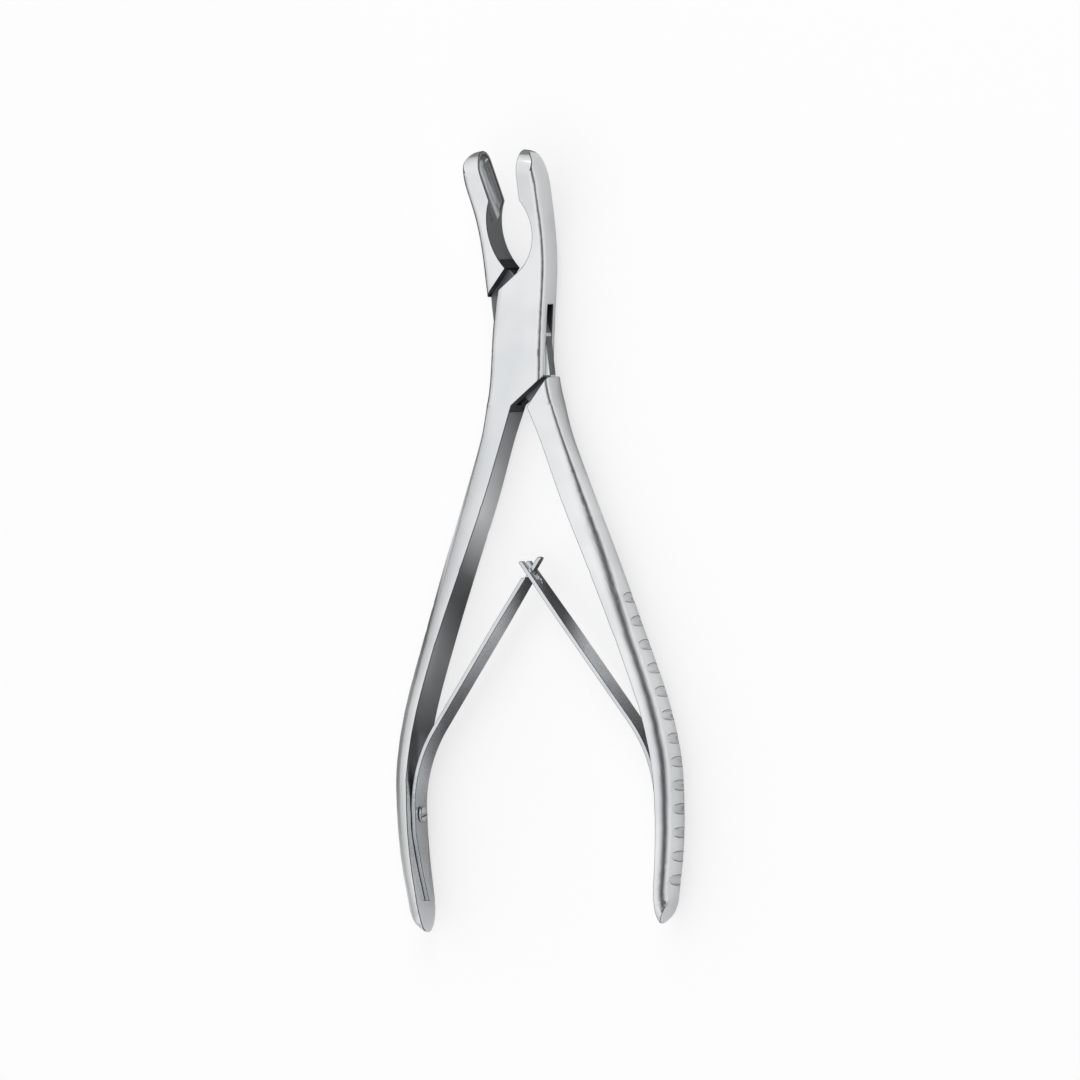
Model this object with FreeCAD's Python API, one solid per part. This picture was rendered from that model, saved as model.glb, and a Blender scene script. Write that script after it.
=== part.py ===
import FreeCAD, Part
import math
import os

# Bone rongeur with a box lock and two interlocking leaf springs, lying on its back.
# X runs across the instrument, Y along it towards the jaw tips, Z up through its depth.
# The origin is on the pivot axis, in the flat back face of the box.
# All lengths are in millimetres and all angles in degrees.

Vector = FreeCAD.Vector

# Opening: at rest the springs hold the two halves this far apart.
OPEN_ANGLE = 13.5

# Box lock
BOX_DEPTH = 8.4
BOX_HALF_WIDTH = 6.2
EDGE_REACH = 15.3          # from the pivot to where the box edges meet on the middle plane
WALL_CORNER_HALF_WIDTH = 6.7
HANDLE_SIDE_HALF_WIDTH = 5.9
SLOT_END = 7.75            # height at which the slot closes on either side of the box
TONGUE_THICKNESS = 3.0
TONGUE_SIDE_CLEARANCE = 0.04
TONGUE_END_CLEARANCE = 0.25
SHOULDER_CLEARANCE = 0.35
WINDOW_CORNER_CLEARANCE = 0.03
TONGUE_ROOT_WIDTH = 1.6       # where the tongue runs into the jaw, on the middle plane
TONGUE_ROOT_OVERLAP = 1.2
CORNER_RADIUS = 1.5        # rounding of the outer edges of box and jaws
ROOT_THICKNESS_OF_HANDLE = 6.5

# Pivot pin, riveted and ground flush with both faces of the box
PIN_DIAMETER = 3.2
PIN_PRESS_CLEARANCE = 0.01
PIN_RUNNING_CLEARANCE = 0.03

# Jaws
JAW_REACH = 42.1           # from the pivot to the tips
HEEL_REACH = 30.7          # from the pivot to the heel of the rims
THROAT_HALF_WIDTH = 2.55
ROOT_THICKNESS = 5.75
MOUTH_THICKNESS = 4.9
NOSE_LENGTH = 8.6
NOSE_BLUNTNESS = 0.5
NOSE_FULLNESS = 0.62       # 0.55 would be a plain ellipse
MOUTH_WIDTH = 8.0
BEND_START = 14.0
BEND_END = 31.0
BEND_ANGLE = 25.0
RIM_CLEARANCE = 0.03       # each rim stays this far from the middle plane when closed
RIM_WIDTH = 0.85
CUP_DEPTH = 2.2

# Handles, as stations down the right handle with the jaws open:
# distance below the pivot, inner face, thickness, depth
HANDLE_STATIONS = [
    (22.5, 4.55, 5.95, 7.6),
    (36.0, 9.3, 6.3, 8.5),
    (50.0, 14.9, 5.95, 9.5),
    (66.0, 21.2, 5.1, 10.9),
    (82.0, 26.75, 4.8, 11.4),
    (94.0, 29.5, 4.5, 11.5),
    (104.0, 30.2, 4.2, 11.4),
    (115.0, 29.85, 4.0, 11.1),
    (124.0, 28.9, 3.7, 10.4),
]
HANDLE_REACH = 132.3
HANDLE_SECTIONS = 16
HANDLE_END_LENGTH = 10.0
HANDLE_END_INSET = 0.5       # the inner side of the foot turns in by this much
HANDLE_END_BELLY = 0.3       # how far down its curve the foot stays full
HANDLE_END_CORNER = 4.6      # rounding of the foot seen from the side
ROUND_FULLNESS = 0.5523      # pole spacing that gives a half-elliptical section
SQUARE_FULLNESS = 1.08       # pole spacing that matches the rounded corners of the box
SQUARE_FADE = 45.0           # below the box the section is fully rounded from here on

# Leaf springs
LEAF_THICKNESS = 0.95
LEAF_WIDTH = 6.6
LEAF_TIP_WIDTH = 5.4
LEAF_SEAT_CLEARANCE = 0.03
LEAF_FOOT_END = 124.8
LEAF_POINT_LENGTH = 15.0
LEAF_POINT_WIDTH = 0.9
LEAF_ANGLE = 35.0          # between each arm and the middle plane with the jaws open
LEAF_CROSSING = 52.4       # from the pivot to where the arms cross
LEAF_BEND_RADIUS = 32.0
LEAF_TAPER_LENGTH = 14.0
TONGUE_TIP_WIDTH = 1.9
TONGUE_TIP_OVERRUN = 4.1
TONGUE_TIP_ROOT = 1.5
FORK_SLOT_WIDTH = 2.6
FORK_OVERRUN = 3.0
FORK_ROOT = 3.3

# Spring screws
SCREW_REACH = 105.5
SCREW_HEAD_DIAMETER = 3.6
SCREW_HEAD_HEIGHT = 1.05
SCREW_HEAD_DOME = 0.45
SCREW_SHANK_DIAMETER = 2.0
SCREW_SHANK_DEPTH = 3.0
SCREW_HOLE_CLEARANCE = 0.05
SCREW_HOLE_END = 0.2
SCREW_SEAT_CLEARANCE = 0.1
SCREW_SLOT_WIDTH = 0.6
SCREW_SLOT_DEPTH = 0.5
SCREW_SLOT_TURN = 13.0

HALF_OPEN = OPEN_ANGLE / 2.0
HALF_DEPTH = BOX_DEPTH / 2.0
HALF_TONGUE = TONGUE_THICKNESS / 2.0
FAR = 60.0
UP = Vector(0, 0, 1)
MIDDLE = Vector(0, 0, 0)


def turned(x, y, angle):
    """A point of the X-Y plane turned about the pivot."""
    a = math.radians(angle)
    return x * math.cos(a) - y * math.sin(a), x * math.sin(a) + y * math.cos(a)


def smooth(rows, column, at):
    """Value of one column of a station table, joined by smooth cubic stretches."""
    last = len(rows) - 2
    index = 0
    while index < last and at > rows[index + 1][0]:
        index += 1
    left, right = rows[index], rows[index + 1]
    before = rows[max(index - 1, 0)]
    after = rows[min(index + 2, len(rows) - 1)]
    span = right[0] - left[0]
    slope_left = (right[column] - before[column]) / (right[0] - before[0])
    slope_right = (after[column] - left[column]) / (after[0] - left[0])
    s = (at - left[0]) / span
    rise = left[column] * (2 * s**3 - 3 * s**2 + 1) + right[column] * (3 * s**2 - 2 * s**3)
    bend = slope_left * (s**3 - 2 * s**2 + s) + slope_right * (s**3 - s**2)
    return rise + bend * span


def prism(wire, direction):
    """Solid that a closed flat wire sweeps along a straight direction."""
    return Part.Face(wire).extrude(direction)


def polygon_prism(corners, half_height):
    """Plate with straight sides, centred on the middle of the depth."""
    points = [Vector(x, y, -half_height) for x, y in corners]
    return prism(Part.makePolygon(points + points[:1]), UP * (2 * half_height))


def spline(points, start=None, end=None):
    """Edge through flat points, with end directions where they are given."""
    curve = Part.BSplineCurve()
    if start is None:
        curve.interpolate(Points=points)
    else:
        curve.interpolate(Points=points, InitialTangent=start, FinalTangent=end)
    return curve.toShape()


def line(a, b):
    """Straight edge between two points."""
    return Part.LineSegment(a, b).toShape()


# The box corner on the middle plane, seen with the jaws open, starts the handle.
CORNER_X, CORNER_DROP = turned(0.0, EDGE_REACH, HALF_OPEN)
HANDLE_TOP = CORNER_DROP
HANDLE_ROWS = [(HANDLE_TOP, -CORNER_X, ROOT_THICKNESS_OF_HANDLE, BOX_DEPTH)] + HANDLE_STATIONS


def inner_face(drop):
    """Distance of the handle's inner face from the middle plane."""
    return smooth(HANDLE_ROWS, 1, drop)


def handle_thickness(drop):
    """Thickness of the handle across X, without the rounded end."""
    return smooth(HANDLE_ROWS, 2, drop)


def handle_section(drop):
    """Section of the handle: a flat inner side and a full outer side, squarer at the box."""
    inner = inner_face(drop)
    thickness = handle_thickness(drop)
    half = smooth(HANDLE_ROWS, 3, drop) / 2.0
    squareness = max(0.0, 1.0 - (drop - HANDLE_TOP) / SQUARE_FADE) ** 2
    fullness = ROUND_FULLNESS + squareness * (SQUARE_FULLNESS - ROUND_FULLNESS)
    outline = [
        (0, half), (fullness * thickness, half), (thickness, fullness * half), (thickness, 0),
        (thickness, -fullness * half), (fullness * thickness, -half), (0, -half),
    ]
    points = [Vector(inner + x, -drop, z) for x, z in outline]
    front, back = Part.BezierCurve(), Part.BezierCurve()
    front.setPoles(points[:4])
    back.setPoles(points[3:])
    return Part.Wire([front.toShape(), back.toShape(), line(points[-1], points[0])])


def handle_end_plan():
    """Plan of the space that the handle may fill, with the curved end at its foot."""
    inner = inner_face(HANDLE_REACH) - HANDLE_END_INSET
    start = HANDLE_REACH - HANDLE_END_LENGTH
    outer = inner_face(start) + handle_thickness(start)
    middle = (inner + outer) / 2.0
    points = [
        Vector(inner, -HANDLE_REACH, -FAR),
        Vector(middle, -HANDLE_REACH + HANDLE_END_BELLY * HANDLE_END_LENGTH, -FAR),
        Vector(outer, -start, -FAR),
    ]
    edges = [
        line(Vector(-FAR, 0, -FAR), Vector(-FAR, -HANDLE_REACH, -FAR)),
        line(Vector(-FAR, -HANDLE_REACH, -FAR), points[0]),
        Part.Arc(*points).toShape(),
        line(points[2], Vector(FAR, -start, -FAR)),
        line(Vector(FAR, -start, -FAR), Vector(FAR, 0, -FAR)),
        line(Vector(FAR, 0, -FAR), Vector(-FAR, 0, -FAR)),
    ]
    return prism(Part.Wire(edges), UP * (2 * FAR))


def handle_end_side():
    """Side view of the space that the handle may fill, with rounded corners at its foot."""
    half = smooth(HANDLE_ROWS, 3, HANDLE_REACH) / 2.0
    radius = HANDLE_END_CORNER
    chord = radius * (1 - math.sqrt(0.5))
    foot = -HANDLE_REACH
    front = [(radius, half), (chord, half - chord), (0, half - radius)]
    back = [(0, radius - half), (chord, chord - half), (radius, -half)]
    front = [Vector(-FAR, foot + up, z) for up, z in front]
    back = [Vector(-FAR, foot + up, z) for up, z in back]
    edges = [
        line(Vector(-FAR, 0, FAR), Vector(-FAR, foot + radius, FAR)),
        line(Vector(-FAR, foot + radius, FAR), front[0]),
        Part.Arc(*front).toShape(),
        line(front[2], back[0]),
        Part.Arc(*back).toShape(),
        line(back[2], Vector(-FAR, foot + radius, -FAR)),
        line(Vector(-FAR, foot + radius, -FAR), Vector(-FAR, 0, -FAR)),
        line(Vector(-FAR, 0, -FAR), Vector(-FAR, 0, FAR)),
    ]
    return prism(Part.Wire(edges), Vector(2 * FAR, 0, 0))


HANDLE_STEP = (HANDLE_REACH - HANDLE_TOP) / HANDLE_SECTIONS
HANDLE_DROPS = [HANDLE_TOP + HANDLE_STEP * i for i in range(HANDLE_SECTIONS + 1)]


def seat(drop):
    """Inner face of the finished handle, which runs straight between its sections."""
    index = min(int((drop - HANDLE_TOP) / HANDLE_STEP), HANDLE_SECTIONS - 1)
    above, below = HANDLE_DROPS[index], HANDLE_DROPS[index + 1]
    share = (drop - above) / HANDLE_STEP
    return (1 - share) * inner_face(above) + share * inner_face(below)


def handle():
    """Right handle with its screw hole, jaws open."""
    body = Part.makeLoft([handle_section(drop) for drop in HANDLE_DROPS], True, True)
    body = body.common(handle_end_plan()).common(handle_end_side())
    depth = SCREW_SHANK_DEPTH + SCREW_HOLE_END
    mouth = Vector(seat(SCREW_REACH) - 1.0, -SCREW_REACH, 0)
    hole = Part.makeCylinder(SCREW_SHANK_DIAMETER / 2 + SCREW_HOLE_CLEARANCE, depth + 1.0,
                             mouth, Vector(1, 0, 0))
    return body.cut(hole)


def cup():
    """Spoon-shaped hollow of the right jaw, as a cutter."""
    bend = math.radians(BEND_ANGLE)
    half_mouth = MOUTH_WIDTH / 2.0 - RIM_WIDTH
    radius = (half_mouth**2 + CUP_DEPTH**2) / (2 * CUP_DEPTH)
    centre_y = JAW_REACH - MOUTH_WIDTH / 2.0
    arc = (BEND_END - BEND_START) / math.sin(bend)
    centre_z = arc * (1 - math.cos(bend)) + (centre_y - BEND_END) * math.tan(bend)
    centre = Vector(CUP_DEPTH - radius, centre_y, centre_z)
    along = Vector(0, -math.cos(bend), -math.sin(bend))
    length = (centre_y - (EDGE_REACH + HEEL_REACH) / 2.0) / math.cos(bend)
    return Part.makeCylinder(radius, length, centre, along).fuse(Part.makeSphere(radius, centre))


def tongue_window():
    """Slot through the box that the tongue turns in, as a cutter with the jaws closed."""
    side = HANDLE_SIDE_HALF_WIDTH
    end = SLOT_END
    corner = EDGE_REACH + WINDOW_CORNER_CLEARANCE
    corners = [
        (0, corner), (side, end), (2 * side, end), (2 * side, -FAR / 3), (0, -FAR / 3),
        (0, -corner), (-side, -end), (-2 * side, -end), (-2 * side, FAR / 3), (0, FAR / 3),
    ]
    return polygon_prism(corners, HALF_TONGUE + TONGUE_SIDE_CLEARANCE)


def tongue():
    """Thin middle of the other half, which fills the slot of the box, jaws closed."""
    side = HANDLE_SIDE_HALF_WIDTH
    tip = EDGE_REACH + TONGUE_ROOT_OVERLAP
    edge = EDGE_REACH - TONGUE_END_CLEARANCE
    clear = TONGUE_END_CLEARANCE
    upper = [
        (-TONGUE_ROOT_WIDTH, tip), (-side + 2 * clear, tip), (-side, SLOT_END + clear),
        (-BOX_HALF_WIDTH + TONGUE_SIDE_CLEARANCE, 0),
    ]
    lower = [(-side + clear, -SLOT_END + clear / 2), (clear, -edge)]
    half_turn = [(-x, -y) for x, y in upper + lower]
    return polygon_prism(upper + lower + half_turn, HALF_TONGUE)


def side_outline(overrun):
    """Side view of box and bent jaw in the Y-Z plane; an overrun replaces the round end."""
    bend = math.radians(BEND_ANGLE)
    radius = (BEND_END - BEND_START) / math.sin(bend)
    half = MOUTH_WIDTH / 2.0
    end_y = JAW_REACH - half
    end_z = radius * (1 - math.cos(bend)) + (end_y - BEND_END) * math.tan(bend)
    ahead = Vector(0, math.cos(bend), math.sin(bend)) * overrun

    def on_bend(share, side):
        turn = bend * share
        offset = side * (HALF_DEPTH + (half - HALF_DEPTH) * share)
        y = BEND_START + radius * math.sin(turn) - offset * math.sin(turn)
        return Vector(-FAR, y, radius * (1 - math.cos(turn)) + offset * math.cos(turn))

    def at_end(turn):
        a = bend + math.radians(turn)
        return Vector(-FAR, end_y - half * math.sin(a), end_z + half * math.cos(a)) + ahead

    if overrun:
        end = line(at_end(0), at_end(-180))
    else:
        end = Part.Arc(at_end(0), at_end(-90), at_end(-180)).toShape()
    front = [on_bend(share, 1) for share in (0, 0.5, 1)]
    back = [on_bend(share, -1) for share in (0, 0.5, 1)]
    base = -EDGE_REACH - HALF_DEPTH
    edges = [
        line(Vector(-FAR, base, HALF_DEPTH), front[0]),
        Part.Arc(*front).toShape(),
        line(front[2], at_end(0)),
        end,
        line(at_end(-180), back[2]),
        Part.Arc(back[2], back[1], back[0]).toShape(),
        line(back[0], Vector(-FAR, base, -HALF_DEPTH)),
        line(Vector(-FAR, base, -HALF_DEPTH), Vector(-FAR, base, HALF_DEPTH)),
    ]
    return Part.Wire(edges)


def jaw_side():
    """Outer side of the right jaw in two edges, nose and cheek, with the jaws closed."""
    tip = Vector(NOSE_BLUNTNESS, JAW_REACH, -FAR)
    cheek = Vector(MOUTH_THICKNESS, JAW_REACH - NOSE_LENGTH, -FAR)
    across = Vector(NOSE_FULLNESS * (MOUTH_THICKNESS - NOSE_BLUNTNESS), 0, 0)
    nose = Part.BezierCurve()
    nose.setPoles([tip, tip + across, cheek + Vector(0, NOSE_FULLNESS * NOSE_LENGTH, 0), cheek])
    root = Vector(ROOT_THICKNESS, EDGE_REACH, -FAR)
    box = Vector(BOX_HALF_WIDTH, 0, -FAR)
    wall = WALL_CORNER_HALF_WIDTH
    corner = Vector(wall, wall - EDGE_REACH, -FAR)
    side = spline([cheek, root, box, corner], Vector(0, -1, 0), Vector(0.06, -1, 0))
    return nose.toShape(), side, tip, corner


def on_outer_side(edge):
    """Whether an edge of the blank runs along the outside of box, jaw or nose."""
    ends = [vertex.Point for vertex in edge.Vertexes]
    if min(point.x for point in ends) > NOSE_BLUNTNESS - RIM_CLEARANCE:
        runs_along = abs(edge.tangentAt(edge.FirstParameter).z) < math.sqrt(0.5)
        is_jaw = edge.CenterOfMass.x > THROAT_HALF_WIDTH
        return runs_along and is_jaw and edge.CenterOfMass.y > WALL_CORNER_HALF_WIDTH - EDGE_REACH
    return edge.CenterOfMass.x < -2 * THROAT_HALF_WIDTH and edge.Length > BOX_DEPTH + CORNER_RADIUS


def blank():
    """Box, right jaw and root of the left handle at full depth, jaws closed."""
    nose_edge, side_edge, tip, wall_corner = jaw_side()
    rim = RIM_CLEARANCE
    throat_start = Vector(rim, EDGE_REACH + rim, -FAR)
    heel = Vector(rim, HEEL_REACH, -FAR)
    throat_mid = Vector(THROAT_HALF_WIDTH, (EDGE_REACH + HEEL_REACH) / 2.0, -FAR)
    crotch = Vector(0, -EDGE_REACH, -FAR)
    outer = inner_face(HANDLE_TOP) + handle_thickness(HANDLE_TOP)
    below = HANDLE_DROPS[1]
    flow = (inner_face(below) + handle_thickness(below) - outer) / HANDLE_STEP
    root_x, root_y = turned(-outer, -HANDLE_TOP, HALF_OPEN)
    root = Vector(root_x, root_y, -FAR)
    side = HANDLE_SIDE_HALF_WIDTH
    upper = Vector(-side, EDGE_REACH - side, -FAR)
    flow_x, flow_y = turned(-flow, -1.0, HALF_OPEN)
    left_side = spline([upper, Vector(-BOX_HALF_WIDTH, 0, -FAR), root],
                       Vector(-0.05, -1, 0), Vector(flow_x, flow_y, 0))
    edges = [
        Part.Arc(throat_start, throat_mid, heel).toShape(),
        line(heel, Vector(rim, JAW_REACH, -FAR)),
        line(Vector(rim, JAW_REACH, -FAR), tip),
        nose_edge,
        side_edge,
        line(wall_corner, crotch),
        line(crotch, root),
        left_side,
        line(upper, throat_start),
    ]
    plan = prism(Part.Wire(Part.__sortEdges__(edges)), UP * (2 * FAR))
    body = plan.common(prism(side_outline(MOUTH_WIDTH), Vector(2 * FAR, 0, 0)))
    outside = [edge for edge in body.Edges if on_outer_side(edge)]
    body = body.makeFillet(CORNER_RADIUS, outside)
    body = body.common(prism(side_outline(0), Vector(2 * FAR, 0, 0)))
    return body.cut(cup())


def leaf_line():
    """Lift-off of the foot and centre of the bend of the right leaf, jaws open."""
    angle = math.radians(LEAF_ANGLE)
    lift = SCREW_REACH
    for _ in range(12):
        middle = seat(lift) - LEAF_SEAT_CLEARANCE - LEAF_THICKNESS / 2.0
        start_x = middle - LEAF_BEND_RADIUS * (1 - math.cos(angle))
        start_drop = LEAF_CROSSING + start_x / math.tan(angle)
        lift = start_drop + LEAF_BEND_RADIUS * math.sin(angle)
    return lift, Vector(middle - LEAF_BEND_RADIUS, -lift, -FAR)


def leaf_plan(overrun):
    """Plan of the right leaf: straight arm, bend and the foot that lies on the handle."""
    angle = math.radians(LEAF_ANGLE)
    half = LEAF_THICKNESS / 2.0
    lift, centre = leaf_line()
    across = Vector(math.cos(angle), math.sin(angle), 0)
    half_way = Vector(math.cos(angle / 2), math.sin(angle / 2), 0)
    down = Vector(math.sin(angle), -math.cos(angle), 0)
    tip = Vector(0, -LEAF_CROSSING, -FAR) - down * overrun
    inner, outer = LEAF_BEND_RADIUS - half, LEAF_BEND_RADIUS + half
    drops = [lift] + [drop for drop in HANDLE_DROPS if lift < drop < LEAF_FOOT_END]
    drops.append(LEAF_FOOT_END)
    back = [Vector(seat(drop) - LEAF_SEAT_CLEARANCE, -drop, -FAR) for drop in drops]
    face = [point - Vector(LEAF_THICKNESS, 0, 0) for point in back]
    edges = [
        line(tip - across * half, tip + across * half),
        line(tip + across * half, centre + across * outer),
        Part.Arc(centre + across * outer, centre + half_way * outer, back[0]).toShape(),
        line(back[-1], face[-1]),
        Part.Arc(face[0], centre + half_way * inner, centre + across * inner).toShape(),
        line(centre + across * inner, tip - across * half),
    ]
    edges += [line(a, b) for a, b in zip(back, back[1:])]
    edges += [line(a, b) for a, b in zip(face, face[1:])]
    return prism(Part.Wire(Part.__sortEdges__(edges)), UP * (2 * FAR))


def leaf_width(tip_drop):
    """Side view of a leaf: pointed foot, parallel length and tapered tip."""
    slope = math.cos(math.radians(LEAF_ANGLE))
    half, tip_half = LEAF_WIDTH / 2.0, LEAF_TIP_WIDTH / 2.0
    taper = LEAF_CROSSING + LEAF_TAPER_LENGTH * slope
    shoulder = LEAF_FOOT_END - LEAF_POINT_LENGTH
    side = [(taper, half), (shoulder, half), (LEAF_FOOT_END, LEAF_POINT_WIDTH / 2.0)]
    outline = [(tip_drop, tip_half)] + side + [(drop, -z) for drop, z in reversed(side)]
    outline.append((tip_drop, -tip_half))
    points = [Vector(-FAR, -drop, z) for drop, z in outline]
    return prism(Part.makePolygon(points + points[:1]), Vector(2 * FAR, 0, 0))


def screw_hole_in_leaf():
    """Cutter for the hole that the screw passes through in the right leaf."""
    radius = SCREW_SHANK_DIAMETER / 2 + SCREW_HOLE_CLEARANCE
    start = Vector(seat(SCREW_REACH) - 5.0, -SCREW_REACH, 0)
    return Part.makeCylinder(radius, 6.0, start, Vector(1, 0, 0))


def along_arm(distance):
    """Distance below the pivot of a point on the arm, counted down from the crossing."""
    return LEAF_CROSSING + distance * math.cos(math.radians(LEAF_ANGLE))


def tongue_leaf():
    """Leaf whose narrow round tip passes through the fork; on the right until mirrored."""
    body = leaf_plan(TONGUE_TIP_OVERRUN).common(leaf_width(along_arm(-TONGUE_TIP_OVERRUN)))
    half = TONGUE_TIP_WIDTH / 2.0
    root = -along_arm(TONGUE_TIP_ROOT)
    centre = -along_arm(-TONGUE_TIP_OVERRUN) - half
    for side in (1, -1):
        tip = Vector(-FAR, centre + half, 0)
        bend = Vector(-FAR, centre + half * math.sqrt(0.5), side * half * math.sqrt(0.5))
        straight = Vector(-FAR, centre, side * half)
        edges = [
            Part.Arc(tip, bend, straight).toShape(),
            line(straight, Vector(-FAR, root, side * half)),
            line(Vector(-FAR, root, side * half), Vector(-FAR, root, side * LEAF_WIDTH)),
            line(Vector(-FAR, root, side * LEAF_WIDTH), Vector(-FAR, FAR, side * LEAF_WIDTH)),
            line(Vector(-FAR, FAR, side * LEAF_WIDTH), Vector(-FAR, FAR, 0)),
            line(Vector(-FAR, FAR, 0), tip),
        ]
        body = body.cut(prism(Part.Wire(edges), Vector(2 * FAR, 0, 0)))
    return body.cut(screw_hole_in_leaf())


def fork_leaf():
    """Leaf with the slotted tip that the other leaf's tip passes through."""
    body = leaf_plan(FORK_OVERRUN).common(leaf_width(along_arm(-FORK_OVERRUN)))
    half = FORK_SLOT_WIDTH / 2.0
    root = -along_arm(FORK_ROOT) + half
    slot = Part.makeBox(2 * FAR, FAR, FORK_SLOT_WIDTH, Vector(-FAR, root, -half))
    end = Part.makeCylinder(half, 2 * FAR, Vector(-FAR, root, 0), Vector(1, 0, 0))
    return body.cut(slot.fuse(end)).cut(screw_hole_in_leaf())


def screw(slot_turn):
    """Slotted screw that holds the foot of the right leaf; its head faces the middle plane."""
    under = seat(SCREW_REACH) - LEAF_SEAT_CLEARANCE - LEAF_THICKNESS - SCREW_SEAT_CLEARANCE
    end = seat(SCREW_REACH) + SCREW_SHANK_DEPTH
    shank, head = SCREW_SHANK_DIAMETER / 2.0, SCREW_HEAD_DIAMETER / 2.0
    rim = under - SCREW_HEAD_HEIGHT + SCREW_HEAD_DOME
    dome = (head**2 + SCREW_HEAD_DOME**2) / (2 * SCREW_HEAD_DOME)
    crown = under - SCREW_HEAD_HEIGHT
    turn = math.asin(head / dome) / 2.0

    def at(x, radius):
        return Vector(x, radius - SCREW_REACH, 0)

    bend = at(crown + dome * (1 - math.cos(turn)), dome * math.sin(turn))
    edges = [
        line(at(crown, 0), at(end, 0)),
        line(at(end, 0), at(end, shank)),
        line(at(end, shank), at(under, shank)),
        line(at(under, shank), at(under, head)),
        line(at(under, head), at(rim, head)),
        Part.Arc(at(rim, head), bend, at(crown, 0)).toShape(),
    ]
    body = Part.Face(Part.Wire(edges)).revolve(at(0, 0), Vector(1, 0, 0), 360)
    corner = Vector(crown - 1.0, -SCREW_REACH - SCREW_SLOT_WIDTH / 2.0, -head - 1.0)
    slot = Part.makeBox(1.0 + SCREW_SLOT_DEPTH, SCREW_SLOT_WIDTH, 2 * head + 2.0, corner)
    slot.rotate(at(0, 0), Vector(1, 0, 0), slot_turn)
    return body.cut(slot)


def turn(shape, angle):
    """Copy of a shape turned about the pivot axis."""
    copy = shape.copy()
    copy.rotate(MIDDLE, UP, angle)
    return copy


def mirrored(shape):
    """Copy of a shape on the other side of the middle plane."""
    return shape.mirror(MIDDLE, Vector(1, 0, 0))


def shoulder_band():
    """Space between the two shoulders of the tongue half, as a cutter, jaws closed."""
    reach = EDGE_REACH + SHOULDER_CLEARANCE * math.sqrt(2.0)
    corners = [(-FAR, reach - FAR), (-FAR, -reach - FAR), (FAR, FAR - reach), (FAR, FAR + reach)]
    return polygon_prism(corners, FAR)


def pin_hole(clearance):
    """Hole for the pivot pin."""
    radius = PIN_DIAMETER / 2.0 + clearance
    return Part.makeCylinder(radius, 2 * FAR, Vector(0, 0, -FAR), UP)


def box_half():
    """Slotted box with the right jaw and the left handle, jaws open."""
    body = turn(blank(), -HALF_OPEN).fuse(mirrored(handle()))
    window = turn(tongue_window(), -HALF_OPEN)
    return body.cut(window).cut(pin_hole(PIN_PRESS_CLEARANCE)).removeSplitter()


def tongue_half():
    """Tongue with the left jaw and the right handle, jaws open."""
    body = turn(mirrored(blank()), HALF_OPEN).fuse(handle())
    body = body.cut(turn(shoulder_band(), HALF_OPEN))
    body = body.fuse(turn(tongue(), HALF_OPEN))
    return body.cut(pin_hole(PIN_RUNNING_CLEARANCE)).removeSplitter()


def pivot_pin():
    """Plain pin, flush with both faces of the box."""
    return Part.makeCylinder(PIN_DIAMETER / 2.0, BOX_DEPTH, Vector(0, 0, -HALF_DEPTH), UP)


PIECES = {
    "box_half": box_half,
    "tongue_half": tongue_half,
    "pivot_pin": pivot_pin,
    "tongue_spring": lambda: mirrored(tongue_leaf()),
    "fork_spring": fork_leaf,
    "tongue_spring_screw": lambda: mirrored(screw(SCREW_SLOT_TURN)),
    "fork_spring_screw": lambda: screw(0.0),
}


def main():
    """Write each piece, resting on the plane through the back face of the box."""
    os.makedirs("parts", exist_ok=True)
    for name, make in PIECES.items():
        solid = make().Solids[0]
        solid.translate(UP * HALF_DEPTH)
        solid.exportStep(f"parts/{name}.step")


if __name__ == "__main__":
    main()
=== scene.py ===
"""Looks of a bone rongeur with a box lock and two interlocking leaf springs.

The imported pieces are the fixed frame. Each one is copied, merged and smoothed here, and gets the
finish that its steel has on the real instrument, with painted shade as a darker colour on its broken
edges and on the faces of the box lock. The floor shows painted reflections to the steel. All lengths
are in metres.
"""

import logging
import math
from collections.abc import Callable
from dataclasses import dataclass, field
from enum import Enum

import bmesh
import bpy
from mathutils import Matrix, Vector
from mathutils.bvhtree import BVHTree


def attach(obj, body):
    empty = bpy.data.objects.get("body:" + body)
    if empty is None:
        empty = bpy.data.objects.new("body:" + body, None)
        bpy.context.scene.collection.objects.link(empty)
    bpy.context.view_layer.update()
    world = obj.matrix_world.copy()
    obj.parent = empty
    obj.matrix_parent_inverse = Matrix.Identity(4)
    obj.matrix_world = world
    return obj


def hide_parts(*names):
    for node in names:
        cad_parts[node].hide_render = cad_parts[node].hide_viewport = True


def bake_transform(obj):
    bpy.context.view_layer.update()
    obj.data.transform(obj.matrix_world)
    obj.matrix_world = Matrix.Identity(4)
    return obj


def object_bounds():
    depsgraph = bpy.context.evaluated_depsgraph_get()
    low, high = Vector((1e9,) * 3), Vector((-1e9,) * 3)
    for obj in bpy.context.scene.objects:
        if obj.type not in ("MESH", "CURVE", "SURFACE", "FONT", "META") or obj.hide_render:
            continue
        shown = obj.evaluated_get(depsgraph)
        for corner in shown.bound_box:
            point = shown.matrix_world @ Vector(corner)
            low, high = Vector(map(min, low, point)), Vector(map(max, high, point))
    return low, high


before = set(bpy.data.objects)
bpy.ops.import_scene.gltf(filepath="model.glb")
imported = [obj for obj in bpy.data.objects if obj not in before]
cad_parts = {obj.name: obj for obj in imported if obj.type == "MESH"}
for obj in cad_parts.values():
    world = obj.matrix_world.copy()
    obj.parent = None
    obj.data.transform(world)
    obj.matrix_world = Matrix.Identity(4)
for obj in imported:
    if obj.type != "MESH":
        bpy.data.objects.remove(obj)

CAD_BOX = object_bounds()
MM = 0.001
MIDDLE_HEIGHT = 4.2         # of box and handles above the back face, in millimetres
MERGE_DISTANCE = 0.002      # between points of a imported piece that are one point, in millimetres
FLAT_ANGLE = math.radians(0.2)
SHARP_ANGLE = math.radians(38.0)
SMOOTH_ANGLE = math.radians(30.0)
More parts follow.
